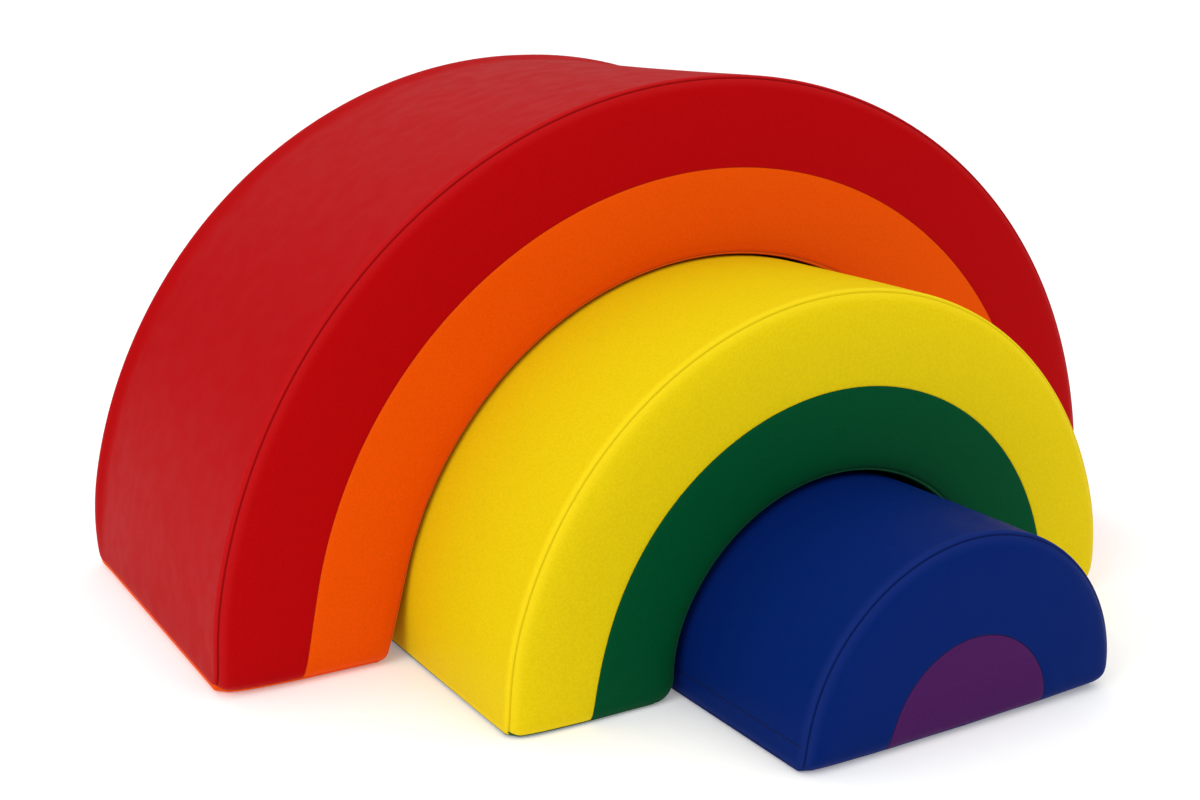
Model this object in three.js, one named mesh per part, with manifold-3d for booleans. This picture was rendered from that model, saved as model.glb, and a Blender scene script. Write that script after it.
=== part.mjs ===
// Nesting soft-play rainbow: a large arch, a medium arch and a small half-round block.
// Each block is a foam core in a sewn vinyl cover that closes with a zip under its left side.
// Millimetres. +X is the width, +Y the depth away from the front, +Z up from the floor.

import * as THREE from 'three';
import { mergeVertices } from 'three/addons/utils/BufferGeometryUtils.js';
import Module from 'manifold-3d';

const wasm = await Module();
wasm.setup();

// Rainbow: the large arch's radius, the bands as shares of it, and the gaps between nested blocks
const LARGE_RADIUS = 600;
const RED_SHARE = 0.168;
const ORANGE_SHARE = 0.165;
const YELLOW_SHARE = 0.163;
const GREEN_SHARE = 0.147;
const BLUE_SHARE = 0.168;
const LARGE_NEST_GAP = 5;
const MEDIUM_NEST_GAP = 9;

// Blocks: all equally deep, and each inner one is pulled forward out of the next
const BLOCK_DEPTH = 480;
const MEDIUM_PULLED_OUT = 225;
const SMALL_PULLED_OUT = 198;

// Cover
const COVER_THICKNESS = 1.2;
const SHEET_GAP = 0.3;
const SEAM_SET_BACK = 5.5;
const BASE_LIP = 1.5;
const BASE_MITRE = 20;
const BASE_TURN_UP = 8;

// Padded edges: depth of the crown, and how far it runs in from the outer, tunnel and floor edges
const CROWN_DEPTH = 14;
const OUTER_CROWN = 22;
const TUNNEL_CROWN = 8;
const FLOOR_CROWN = 10;

// Rounded lower corners, at the walls and where the face goes flat
const CORNER_RADIUS = 30;
const FACE_CORNER_RADIUS = 12;

// Zip under the left side
const ZIP_EDGE_INSET = 34;
const ZIP_END_MARGIN = 70;
const ZIP_SLIT_WIDTH = 10;
const ZIP_HEM_WIDTH = 12;
const ZIP_FLOOR_CLEARANCE = 0.3;
const TAPE_WIDTH = 14;
const TAPE_THICKNESS = 0.8;
const COIL_WIDTH = 2.4;
const COIL_HEIGHT = 2.4;
const COIL_SLOT = 1.6;
const STOP_LENGTH = 3;
const SLIDER_LENGTH = 14;
const SLIDER_PLATE = 1.3;
const SLIDER_POST_LENGTH = 5;
const PULL_LENGTH = 24;
const PULL_WIDTH = 6;
const PULL_THICKNESS = 1;

// Number of flats on each arc
const ARC_STEPS = 24;
const CORNER_STEPS = 3;
const CROWN_STEPS = 2;

// Radii that follow, from the outside inwards: colour line, tunnel and the block that stands in it
const LARGE_COLOUR = LARGE_RADIUS * (1 - RED_SHARE);
const LARGE_TUNNEL = LARGE_COLOUR - LARGE_RADIUS * ORANGE_SHARE;
const MEDIUM_RADIUS = LARGE_TUNNEL - LARGE_NEST_GAP;
const MEDIUM_COLOUR = MEDIUM_RADIUS - LARGE_RADIUS * YELLOW_SHARE;
const MEDIUM_TUNNEL = MEDIUM_COLOUR - LARGE_RADIUS * GREEN_SHARE;
const SMALL_RADIUS = MEDIUM_TUNNEL - MEDIUM_NEST_GAP;
const SMALL_COLOUR = SMALL_RADIUS - LARGE_RADIUS * BLUE_SHARE;

// The rear of the large arch and the front of the small block lie equally far from the origin
const LARGE_FRONT = (MEDIUM_PULLED_OUT + SMALL_PULLED_OUT - BLOCK_DEPTH) / 2;
const MEDIUM_FRONT = LARGE_FRONT - MEDIUM_PULLED_OUT;
const SMALL_FRONT = MEDIUM_FRONT - SMALL_PULLED_OUT;

const CORE_INSET = COVER_THICKNESS + SHEET_GAP;
const HALF_GAP = SHEET_GAP / 2;
const BEYOND = 2 * (LARGE_RADIUS + BLOCK_DEPTH);

const RED = 0xb8201c;
const ORANGE = 0xe85203;
const YELLOW = 0xe8c60f;
const GREEN = 0x03492a;
const BLUE = 0x0a2566;
const PURPLE = 0x4a1f57;
const FOAM = 0xd9d2b8;
const ZIP_CLOTH = 0x1b1b1d;
const ZIP_METAL = 0x8d8f92;

function vinyl(color) {
  return new THREE.MeshStandardMaterial({ color, roughness: 0.45, metalness: 0 });
}

function foam() {
  return new THREE.MeshStandardMaterial({ color: FOAM, roughness: 0.95, metalness: 0 });
}

function zipCloth() {
  return new THREE.MeshStandardMaterial({ color: ZIP_CLOTH, roughness: 0.9, metalness: 0 });
}

function zipMetal() {
  return new THREE.MeshStandardMaterial({ color: ZIP_METAL, roughness: 0.35, metalness: 0.9 });
}

// Solids

function solidFrom(geometry) {
  geometry.deleteAttribute('normal');
  geometry.deleteAttribute('uv');
  const merged = mergeVertices(geometry);
  const vertProperties = Float32Array.from(merged.getAttribute('position').array);
  const triVerts = Uint32Array.from(merged.index.array);
  return new wasm.Manifold(new wasm.Mesh({ numProp: 3, vertProperties, triVerts }));
}

function geometryFrom(solid) {
  const { vertProperties, triVerts } = solid.getMesh();
  const geometry = new THREE.BufferGeometry();
  geometry.setAttribute('position', new THREE.BufferAttribute(vertProperties, 3));
  geometry.setIndex(new THREE.BufferAttribute(triVerts, 1));
  geometry.computeVertexNormals();
  return geometry;
}

function part(name, solid, material) {
  const mesh = new THREE.Mesh(geometryFrom(solid), material);
  mesh.name = name;
  return mesh;
}

function boxBetween(low, high) {
  const size = new THREE.Vector3().subVectors(high, low);
  const centre = new THREE.Vector3().addVectors(low, high).multiplyScalar(0.5);
  const geometry = new THREE.BoxGeometry(size.x, size.y, size.z);
  return solidFrom(geometry.translate(centre.x, centre.y, centre.z));
}

// Everything between two depths behind a block's front face
function slab(nearDepth, farDepth) {
  return boxBetween(
    new THREE.Vector3(-BEYOND, nearDepth, -BEYOND),
    new THREE.Vector3(BEYOND, farDepth, BEYOND),
  );
}

// Everything within a radius of the arcs' common centre line on the floor
function drum(radius) {
  return solidFrom(new THREE.CylinderGeometry(radius, radius, BEYOND, 2 * ARC_STEPS));
}

// An outline in X and Z that runs through the whole depth
function prism(points) {
  const shape = new THREE.Shape(points);
  const geometry = new THREE.ExtrudeGeometry(shape, { depth: BEYOND, bevelEnabled: false });
  return solidFrom(geometry.rotateX(Math.PI / 2).translate(0, BEYOND / 2, 0));
}

// Block outlines

function arc(x, z, radius, from, to, steps) {
  const points = [];
  for (let step = 0; step <= steps; step += 1) {
    const angle = from + ((to - from) * step) / steps;
    points.push(new THREE.Vector2(x + radius * Math.cos(angle), z + radius * Math.sin(angle)));
  }
  return points;
}

function cornerRadius(inset, draw) {
  return CORNER_RADIUS - inset - (CORNER_RADIUS - FACE_CORNER_RADIUS) * draw;
}

// Lower corner of a tunnel: an arc that touches the floor line and the tunnel from outside
function tunnelCorner(block, inset, draw) {
  const tunnel = block.tunnel + inset + TUNNEL_CROWN * draw;
  const radius = cornerRadius(inset, draw);
  const z = inset + FLOOR_CROWN * draw + radius;
  const reach = tunnel + radius;
  return { tunnel, radius, z, x: Math.sqrt(reach * reach - z * z), lean: Math.asin(z / reach) };
}

function archOutline(block, inset, draw) {
  const outer = block.radius - inset - OUTER_CROWN * draw;
  const floor = inset + FLOOR_CROWN * draw;
  const start = Math.asin(floor / outer);
  const corner = tunnelCorner(block, inset, draw);
  const { tunnel, radius, x, z, lean } = corner;
  return [
    ...arc(0, 0, outer, start, Math.PI - start, ARC_STEPS),
    ...arc(-x, z, radius, -Math.PI / 2, -lean, CORNER_STEPS),
    ...arc(0, 0, tunnel, Math.PI - lean, lean, ARC_STEPS).slice(1, -1),
    ...arc(x, z, radius, Math.PI + lean, 1.5 * Math.PI, CORNER_STEPS),
  ];
}

// Lower right corner of the half-round block: an arc that touches the floor line and the outer arc
function domeCorner(block, inset, draw) {
  const outer = block.radius - inset - OUTER_CROWN * draw;
  const radius = cornerRadius(inset, draw);
  const z = inset + FLOOR_CROWN * draw + radius;
  const reach = outer - radius;
  const lean = Math.asin(z / reach);
  return { outer, radius, z, x: reach * Math.cos(lean), lean };
}

function domeOutline(block, inset, draw) {
  const { outer, radius, x, z, lean } = domeCorner(block, inset, draw);
  const floor = inset + FLOOR_CROWN * draw;
  const end = Math.PI - Math.asin(floor / outer);
  return [
    ...arc(x, z, radius, -Math.PI / 2, lean, CORNER_STEPS),
    ...arc(0, 0, outer, lean, end, ARC_STEPS).slice(1),
  ];
}

// Depths from the front face to the rear one, with how much of the crown is drawn in at each
function crownLayers(inset) {
  const front = [];
  for (let step = 0; step <= CROWN_STEPS; step += 1) {
    const turn = (step / CROWN_STEPS) * (Math.PI / 2);
    front.push({ depth: inset + CROWN_DEPTH * (1 - Math.cos(turn)), draw: 1 - Math.sin(turn) });
  }
  const rear = front.map(({ depth, draw }) => ({ depth: BLOCK_DEPTH - depth, draw })).reverse();
  return [...front, ...rear];
}

// The padded block, shrunk by an inset on every side: outlines joined from the front to the rear
function paddedForm(block, inset) {
  const layers = crownLayers(inset);
  const loops = layers.map(({ draw }) => block.outline(block, inset, draw));
  const count = loops[0].length;
  const positions = loops.flatMap((loop, layer) => (
    loop.flatMap((point) => [point.x, layers[layer].depth, point.y])
  ));
  const index = [];
  for (let layer = 0; layer + 1 < loops.length; layer += 1) {
    for (let i = 0; i < count; i += 1) {
      const near = layer * count + i;
      const nearNext = layer * count + ((i + 1) % count);
      index.push(near, near + count, nearNext + count);
      index.push(near, nearNext + count, nearNext);
    }
  }
  const rearStart = (loops.length - 1) * count;
  for (const [a, b, c] of THREE.ShapeUtils.triangulateShape(loops[0], [])) {
    index.push(a, b, c);
  }
  for (const [a, b, c] of THREE.ShapeUtils.triangulateShape(loops[loops.length - 1], [])) {
    index.push(rearStart + a, rearStart + c, rearStart + b);
  }
  const geometry = new THREE.BufferGeometry();
  geometry.setAttribute('position', new THREE.Float32BufferAttribute(positions, 3));
  geometry.setIndex(index);
  return solidFrom(geometry);
}

// Base panels: each runs from a mitred outer edge at the floor to a seam just round the rounded corner

// The left or right base panel's region, grown by half a seam gap or shrunk by it
function baseRegion(edge, seam, side, grow) {
  const lift = BASE_LIP + grow * Math.SQRT2;
  const top = BASE_MITRE + lift;
  const outline = [
    [edge - BASE_MITRE, lift - BASE_MITRE],
    [edge - BASE_MITRE, -2 * BASE_MITRE],
    [seam + grow, -2 * BASE_MITRE],
    [seam + grow, top],
    [edge + BASE_MITRE, top],
  ];
  const points = outline.map(([x, z]) => new THREE.Vector2(side * x, z));
  return prism(points);
}

// Zip levels above the floor: the hem holds the tape high enough for the slider to pass under the coils
const SLIDER_FOOT = ZIP_FLOOR_CLEARANCE + Math.max(SLIDER_PLATE, PULL_THICKNESS);
const HEM_TOP = Math.max(
  2 * COVER_THICKNESS,
  SLIDER_FOOT + (COIL_HEIGHT - TAPE_THICKNESS) / 2,
);
const TAPE_BOTTOM = HEM_TOP + SHEET_GAP;
const COIL_BOTTOM = TAPE_BOTTOM + (TAPE_THICKNESS - COIL_HEIGHT) / 2;
const COIL_TOP = COIL_BOTTOM + COIL_HEIGHT;
const SLIDER_TOP = COIL_TOP + SHEET_GAP + SLIDER_PLATE;

// Zip stations from its centre line and along its length
const COIL_EDGE = COIL_SLOT / 2 + COIL_WIDTH;
const TAPE_START = COIL_EDGE + SHEET_GAP;
const TAPE_EDGE = TAPE_START + TAPE_WIDTH;
const HEM_EDGE = ZIP_SLIT_WIDTH / 2 + ZIP_HEM_WIDTH;
const SLIDER_HALF_WIDTH = ZIP_SLIT_WIDTH / 2 - SHEET_GAP;
const ZIP_NEAR = ZIP_END_MARGIN;
const ZIP_FAR = BLOCK_DEPTH - ZIP_END_MARGIN;
const COIL_NEAR = ZIP_NEAR + STOP_LENGTH + 2 * SHEET_GAP;
const COIL_FAR = ZIP_FAR - STOP_LENGTH - 2 * SHEET_GAP;

function zipCentre(block) {
  return ZIP_EDGE_INSET - block.radius;
}

// A box beside a zip's centre line, given as ranges across it, along it and above the floor
function zipBox(block, [x0, x1], [y0, y1], [z0, z1]) {
  const centre = zipCentre(block);
  return boxBetween(
    new THREE.Vector3(centre + x0, y0, z0),
    new THREE.Vector3(centre + x1, y1, z1),
  );
}

// The base panel's edges are folded up into a hem on both sides of the zip's slit
function withZipSlit(block, panel) {
  const length = [ZIP_NEAR, ZIP_FAR];
  const hem = zipBox(block, [-HEM_EDGE, HEM_EDGE], length, [0, HEM_TOP]);
  const halfSlit = ZIP_SLIT_WIDTH / 2;
  const slit = zipBox(block, [-halfSlit, halfSlit], length, [-HEM_TOP, 2 * HEM_TOP]);
  return panel.add(hem).subtract(slit);
}

function zipChannel(block) {
  const reach = Math.max(TAPE_EDGE, HEM_EDGE) + SHEET_GAP;
  const length = [ZIP_NEAR - SHEET_GAP, ZIP_FAR + SHEET_GAP];
  return zipBox(block, [-reach, reach], length, [-SLIDER_TOP, SLIDER_TOP + SHEET_GAP]);
}

function zipSlider(block, near, far) {
  const width = [-SLIDER_HALF_WIDTH, SLIDER_HALF_WIDTH];
  const post = COIL_SLOT / 2 - SHEET_GAP;
  const lowerTop = COIL_BOTTOM - SHEET_GAP;
  const lower = zipBox(block, width, [near, far], [lowerTop - SLIDER_PLATE, lowerTop]);
  const upper = zipBox(block, width, [near, far], [SLIDER_TOP - SLIDER_PLATE, SLIDER_TOP]);
  const bridge = zipBox(
    block,
    [-post, post],
    [near, near + SLIDER_POST_LENGTH],
    [lowerTop - SLIDER_PLATE, SLIDER_TOP],
  );
  return lower.add(upper).add(bridge);
}

function zipParts(block) {
  const name = `${block.name}_zip`;
  const tapeLevel = [TAPE_BOTTOM, TAPE_BOTTOM + TAPE_THICKNESS];
  const tapeLength = [ZIP_NEAR + SHEET_GAP, ZIP_FAR - SHEET_GAP];
  const coilLevel = [COIL_BOTTOM, COIL_TOP];
  const coilLength = [COIL_NEAR, COIL_FAR];
  const stopWidth = [-COIL_EDGE, COIL_EDGE];
  const nearStop = [ZIP_NEAR + SHEET_GAP, COIL_NEAR - SHEET_GAP];
  const farStop = [COIL_FAR + SHEET_GAP, ZIP_FAR - SHEET_GAP];
  const sliderNear = COIL_FAR - SLIDER_LENGTH;
  const pullFar = sliderNear - SHEET_GAP;
  const pullLevel = [ZIP_FLOOR_CLEARANCE, ZIP_FLOOR_CLEARANCE + PULL_THICKNESS];
  const tape = (range) => zipBox(block, range, tapeLength, tapeLevel);
  const coil = (range) => zipBox(block, range, coilLength, coilLevel);
  const stop = (range) => zipBox(block, stopWidth, range, coilLevel);
  const pull = zipBox(
    block,
    [-PULL_WIDTH / 2, PULL_WIDTH / 2],
    [pullFar - PULL_LENGTH, pullFar],
    pullLevel,
  );
  return [
    part(`${name}_tape_left`, tape([-TAPE_EDGE, -TAPE_START]), zipCloth()),
    part(`${name}_tape_right`, tape([TAPE_START, TAPE_EDGE]), zipCloth()),
    part(`${name}_coil_left`, coil([-COIL_EDGE, -COIL_SLOT / 2]), zipCloth()),
    part(`${name}_coil_right`, coil([COIL_SLOT / 2, COIL_EDGE]), zipCloth()),
    part(`${name}_front_stop`, stop(nearStop), zipMetal()),
    part(`${name}_rear_stop`, stop(farStop), zipMetal()),
    part(`${name}_slider`, zipSlider(block, sliderNear, COIL_FAR), zipMetal()),
    part(`${name}_pull`, pull, zipMetal()),
  ];
}

// Covers

function coverShell(block) {
  return paddedForm(block, 0).subtract(paddedForm(block, COVER_THICKNESS));
}

function coreSolid(block) {
  return paddedForm(block, CORE_INSET).subtract(zipChannel(block));
}

// A face is two panels sewn edge to edge along the colour line
function facePanels(block, face, shell, depths) {
  const panel = shell.intersect(slab(...depths));
  const outer = panel.subtract(drum(block.colour + HALF_GAP));
  const inner = panel.intersect(drum(block.colour - HALF_GAP));
  return [
    part(`${block.name}_${face}_outer_panel`, outer, vinyl(block.outerColour)),
    part(`${block.name}_${face}_inner_panel`, inner, vinyl(block.innerColour)),
  ];
}

function wallDepths() {
  return [SEAM_SET_BACK + HALF_GAP, BLOCK_DEPTH - SEAM_SET_BACK - HALF_GAP];
}

// The walls of an arch: outer band, tunnel lining round the lower corners, and two base panels
function archWalls(block, shell) {
  const walls = shell.intersect(slab(...wallDepths()));
  const seam = BASE_TURN_UP - tunnelCorner(block, 0, 0).x;
  const middle = drum((block.radius + block.tunnel) / 2);
  const region = (side, grow) => baseRegion(-block.radius, seam, side, grow);
  const upper = walls.subtract(region(1, HALF_GAP)).subtract(region(-1, HALF_GAP));
  const left = withZipSlit(block, walls.intersect(region(1, -HALF_GAP)));
  const right = walls.intersect(region(-1, -HALF_GAP));
  return [
    part(`${block.name}_outer_band`, upper.subtract(middle), vinyl(block.outerColour)),
    part(`${block.name}_tunnel_lining`, upper.intersect(middle), vinyl(block.innerColour)),
    part(`${block.name}_base_left`, left, vinyl(block.innerColour)),
    part(`${block.name}_base_right`, right, vinyl(block.innerColour)),
  ];
}

// The walls of the half-round block: one band that rounds the right corner, and one base panel
function domeWalls(block, shell) {
  const walls = shell.intersect(slab(...wallDepths()));
  const seam = domeCorner(block, 0, 0).x + BASE_TURN_UP;
  const region = (grow) => baseRegion(-block.radius, seam, 1, grow);
  const base = withZipSlit(block, walls.intersect(region(-HALF_GAP)));
  return [
    part(`${block.name}_outer_band`, walls.subtract(region(HALF_GAP)), vinyl(block.outerColour)),
    part(`${block.name}_base`, base, vinyl(block.outerColour)),
  ];
}

function buildBlock(block) {
  const shell = coverShell(block);
  const group = new THREE.Group();
  group.add(
    part(`${block.name}_foam_core`, coreSolid(block), foam()),
    ...block.walls(block, shell),
    ...facePanels(block, 'front', shell, [-BEYOND, SEAM_SET_BACK - HALF_GAP]),
    ...facePanels(block, 'rear', shell, [BLOCK_DEPTH - SEAM_SET_BACK + HALF_GAP, BEYOND]),
    ...zipParts(block),
  );
  group.position.y = block.front;
  return group;
}

const blocks = [
  {
    name: 'large',
    front: LARGE_FRONT,
    radius: LARGE_RADIUS,
    colour: LARGE_COLOUR,
    tunnel: LARGE_TUNNEL,
    outline: archOutline,
    walls: archWalls,
    outerColour: RED,
    innerColour: ORANGE,
  },
  {
    name: 'medium',
    front: MEDIUM_FRONT,
    radius: MEDIUM_RADIUS,
    colour: MEDIUM_COLOUR,
    tunnel: MEDIUM_TUNNEL,
    outline: archOutline,
    walls: archWalls,
    outerColour: YELLOW,
    innerColour: GREEN,
  },
  {
    name: 'small',
    front: SMALL_FRONT,
    radius: SMALL_RADIUS,
    colour: SMALL_COLOUR,
    outline: domeOutline,
    walls: domeWalls,
    outerColour: BLUE,
    innerColour: PURPLE,
  },
];

const rainbow = new THREE.Group();
for (const block of blocks) {
  rainbow.add(buildBlock(block));
}

export default rainbow;
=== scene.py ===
import math
from dataclasses import dataclass

import bmesh
import bpy
import numpy as np
from mathutils import Matrix, Vector


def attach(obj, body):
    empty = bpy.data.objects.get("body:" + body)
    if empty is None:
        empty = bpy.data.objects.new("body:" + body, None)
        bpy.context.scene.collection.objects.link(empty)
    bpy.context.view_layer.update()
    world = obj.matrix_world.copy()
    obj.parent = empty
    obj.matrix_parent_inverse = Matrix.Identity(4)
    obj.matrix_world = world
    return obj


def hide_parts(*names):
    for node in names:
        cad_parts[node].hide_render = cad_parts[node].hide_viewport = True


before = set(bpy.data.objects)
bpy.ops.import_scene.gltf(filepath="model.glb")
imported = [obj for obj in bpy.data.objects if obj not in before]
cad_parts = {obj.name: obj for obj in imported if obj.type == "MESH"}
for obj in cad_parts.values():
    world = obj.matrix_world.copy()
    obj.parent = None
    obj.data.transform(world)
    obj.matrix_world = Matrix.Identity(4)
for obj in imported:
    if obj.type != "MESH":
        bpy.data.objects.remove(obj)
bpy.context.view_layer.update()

MM = 0.001

# Soft-play rainbow, in millimetres: x across, v back from a block's front, z up from the floor.
# A reach is the distance over which an effect dies away, and a height is the same upwards.
# TINY keeps divisions safe, and FAR stands for no seam nearby.
DEPTH = 480.0
QUARTER = math.pi / 2
DIAGONAL = math.sqrt(0.5)
MIRROR = np.array([-1, 1])
TINY = 1e-6
FAR = 900.0

# Vinyl sheet, its seams, and how it thins out and is drawn in at them
SHEET = 1.2
HEM = 2.4
SEWN_SHARE = 0.35
SEWN_REACH = 3.0
OUTER_INSET = 3.8
TUNNEL_INSET = 3.2
CREST = 5.5
SEAM_WIDTH = 1.2
SEAM_PULL = 0.6
FOOT_PULL = 0.4

# The painted shade of a seam falls off with distance; these seams start further from the darkest
FOOT_SEAM_START = 0.4
BASE_SEAM_START = 0.5

# Colour lines: width of the crease, and the slope and start of the painted shade in it
ARCH_LINE = (0.8, 1.0, 0.2)
DOME_LINE = (1.3, 0.6, 0.0)
FLARE_HEIGHT = 100.0

# Faces: how far they fall back at their seams, as pairs of a depth and its reach.
# At the floor the depths are shares of the block's tuck.
OUTER_ROLL = ((2.8, 4.5), (5.0, 15.0))
TUNNEL_ROLL = ((2.6, 4.0), (2.9, 11.0))
FLOOR_ROLL = ((0.6, 5.0), (0.4, 15.0))

# Faces: drawn-in lower corners, the seam's lift at the lower left corner,
# and the swelling beside the colour line
DRAWN_REACH = 24.0
DRAWN_HEIGHT_LEFT = 22.0
DRAWN_HEIGHT_RIGHT = 18.0
DRAWN_SHARE_RIGHT = 0.5
DRAWN_SHARE_REAR = 0.3
CORNER_LIFT_REACH = 14.0
CORNER_LIFT_HEIGHT = 9.0
SWELL = 0.5
SWELL_REACH = 8.0

# Slow unevenness of padded vinyl: two waves that cross and one that slants
FACE_RIPPLE = 0.3
WALL_RIPPLE = 0.4
RIPPLE_REACH = 40.0
CROSSED_SHARE = 0.55
CROSSED_LENGTHS = (61.0, 73.0)
SLANTED_SHARE = 0.45
SLANTED_LENGTHS = (97.0, 83.0)

# Sag of the walls between their rims: slow from the front, quick at the rear, little at the floor
SAG_REACH = 220.0
SAG_FULL = 0.86
SAG_END = 26.0
SAG_HEIGHT = 90.0
SAG_AT_FLOOR = 0.1
LINING_SAG_HEIGHT = 60.0

# Feet: rounded outer edges (heels), leaning walls, and the tunnel walls over the rounded corners (toes)
HEEL_LEFT = 4.0
HEEL_HEIGHT = 12.0
HEEL_HEIGHT_SHARE = 1.85
HEEL_REACH = 8.0
HEEL_REACH_SHARE = 4.0
HEEL_LIFT_SHARE = 1.1
HEEL_LIFT_HEIGHT = 45.0
FOOT_HEIGHT = 120.0
DOME_FOOT_REACH = 24.0
DOME_FOOT_RIGHT = 1.2
TOE_HEIGHT = 100.0
TOE_REACH = 90.0
TURN_UP = math.asin(0.27)
TURN_END = TURN_UP - QUARTER

# Crowns: how soon the band's settling takes over from the tunnel's,
# and how far a settled crown pushes its shoulder out and, behind, up
SETTLE_SLOPE = 1.3
SHOULDER_OUT = 3.5
SHOULDER_UP = 2.4

# Zips: place of the slit, half widths of the slit and of its hem
ZIP_INSET = 34.0
ZIP_MARGIN = 70.0
SLIT_HALF = 5.0
HEM_HALF = 17.0
HEM_SLACK = 0.1

# Stations across a sheet, close together at its edges
FINE = np.array([0, .22, .5, .85, 1.3, 1.9, 2.8, 4.2, 6.2, 9, 13, 19, 27])
FOOT = np.array([0, .25, .6, 1.1, 1.8, 2.8, 4.4, 6.6, 9.4, 13, 17, 21])
FOOT_END = 24.0
EDGE = np.array([0, .22, .5, .85, 1.3, 1.9, 2.7, 3.7, 5, 6.6, 9, 12, 16, 21, 28, 38])
WALL_STEPS = 12
FACE_STEPS = 8
DOME_FOOT_TOP = 30.0
HUB_END = np.array([0.0, 6.0])
HUB_STEPS = 9
FIRST_TURNS = np.array([0, .01, .025, .05, .09])
LINING_TURN = 0.14
LINING_TURN_STEPS = 16
CORNER_STEPS = 22
LAST_TURNS = np.array([.06, .03, .015, 0])

# Base panels: the lip at the outer edge, the roll up to the faces, and the stations
LIP_OUT = 0.1
LIP_WIDTH = 0.8
LIP_DROP = 0.3
LIP_STEPS = 7
BASE_ROLL = 12.0
BASE_STEPS = BASE_ROLL * np.array([0, .02, .06, .13, .25, .42, .68])
BASE_TURN_STEPS = 5
BASE_SPACING = 12.0
RUN_START = 40.0
RUN_SPACING = 18.0
ZIP_END_ROW = 12.0
SINK_REACH = 16.0

# Foam: its room inside the cover, and how it draws in towards its ends
FOAM_GAP = 4.0
FOAM_FLOOR = 7.5
FOAM_END = 8.0
FOAM_BAND_GAP = 2.0
FOAM_TUNNEL_GAP = 1.0
FOAM_DRAW = 9.0
FOAM_DRAW_REACH = 12.0
FOAM_DRAW_TUNNEL = 0.6
FOAM_DRAW_CORNER = 0.4
FOAM_SAG_REACH = 30.0
FOAM_FACE_REACH = 70.0
FOAM_STATIONS = np.array([0, 3, 8, 16, 28])
FOAM_MIDDLE = 45.0
FOAM_MIDDLE_STEPS = 9
FOAM_TURN_STEPS = 8
FOAM_FOOT_SHARE = 0.06
FOAM_ACROSS = np.linspace(0, 1, 5)[:, None, None]
FOAM_MERGE = 1e-5

# Stitches: their level and run, the places along a stitch with its thickness there, the thread's half width
# and height, and where the wall they lie on starts behind the block's end
STITCH_LEVEL = 28.0
STITCH_START = 14.0
STITCH_STOP = 16.0
STITCH_STEP = 6.2
STITCH_LENGTH = 4.2
STITCH_PROFILE = ((0, .35), (.12, .8), (.5, 1), (.88, .8), (1, .35))
STITCH_SIDES = 6
STITCH_DIP = 0.25
STITCH_PROUD = 0.1
THREAD_WIDTH = 0.4
THREAD_HEIGHT = 0.85
WALL_START = 8.0

# Mesh cleaning, in metres, and the angles in degrees over which an edge shows
MERGE = 2e-6
FLAT = 1e-7
SHEET_ANGLE = 50
FOAM_ANGLE = 40


@dataclass
class Block:
    """A block's sizes, and how far its padded cover departs from them."""
    name: str
    outer: str            # colour of the band and the outer face panels
    inner: str            # colour of the lining and the inner face panels
    radius: float         # of the band
    colour: float         # radius of the line between the two colours
    tunnel: float         # radius of the tunnel, or None for a half-round block
    front: float          # the front's y in the frame
    corner: float         # radius of the rounded lower corner
    side_seam: float      # height of the base's seam under the walls
    face_seam: float      # and under the faces
    corner_lift: float    # how much higher that lies at a face's lower left corner
    sag: float            # how far the band sinks between its rims, or bulges if negative
    lining_sag: float     # the same for the lining
    toe: float            # how far the tunnel wall stands back at the floor, or reaches in if negative
    foot: float           # how far the outer wall leans in at the floor
    heel: float           # how far the right foot's outer edge is rounded in
    drawn: float          # how far a face's lower outer corners lie back
    tuck: float           # how far a face's lower edge lies back
    tuck_right: float     # share by which that grows towards the right
    settle: float         # how far the crown has sunk at the band
    tunnel_settle: float  # and at the tunnel
    shoulder: float       # share of the sinking that pushes the right shoulder out
    flare: float          # how far the colour line turns out at the floor
    line: tuple           # the colour line's crease
    phase: float          # start of the unevenness
    steps: int            # stations round the block

    def __post_init__(self):
        self.dome = self.tunnel is None
        reach = self.radius - self.corner if self.dome else self.tunnel + self.corner
        self.corner_x = math.sqrt(reach * reach - self.corner * self.corner)
        self.lean = math.asin(self.corner / reach)
        self.zip_x = ZIP_INSET - self.radius


LARGE = Block(
    name="large", outer="red", inner="orange", radius=600.0, colour=499.2, tunnel=400.2, front=-28.5,
    corner=13.0, side_seam=10.6, face_seam=4.6, corner_lift=5.6, sag=5.5, lining_sag=-0.8, toe=15.0,
    foot=7.0, heel=4.0, drawn=16.0, tuck=12.0, tuck_right=0.0, settle=4.5, tunnel_settle=1.8, shoulder=1.0,
    flare=8.0, line=ARCH_LINE, phase=0.3, steps=150)
MEDIUM = Block(
    name="medium", outer="yellow", inner="green", radius=395.2, colour=297.4, tunnel=209.2, front=-253.5,
    corner=27.0, side_seam=3.2, face_seam=2.8, corner_lift=4.0, sag=-0.9, lining_sag=-2.4, toe=-7.0,
    foot=8.0, heel=13.0, drawn=9.0, tuck=5.5, tuck_right=0.0, settle=0.0, tunnel_settle=5.0, shoulder=0.0,
    flare=4.0, line=ARCH_LINE, phase=1.7, steps=120)
SMALL = Block(
    name="small", outer="blue", inner="purple", radius=200.2, colour=99.4, tunnel=None, front=-451.5,
    corner=21.0, side_seam=4.4, face_seam=3.6, corner_lift=1.5, sag=-1.8, lining_sag=0.0, toe=0.0,
    foot=5.5, heel=0.0, drawn=5.0, tuck=10.0, tuck_right=0.6, settle=3.0, tunnel_settle=0.0, shoulder=0.0,
    flare=0.0, line=DOME_LINE, phase=3.1, steps=84)


# Curves

def ease(t):
    """From 0 to 1, level at both ends, as t goes from 0 to 1."""
    t = np.clip(t, 0, 1)
    return t * t * (3 - 2 * t)


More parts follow.
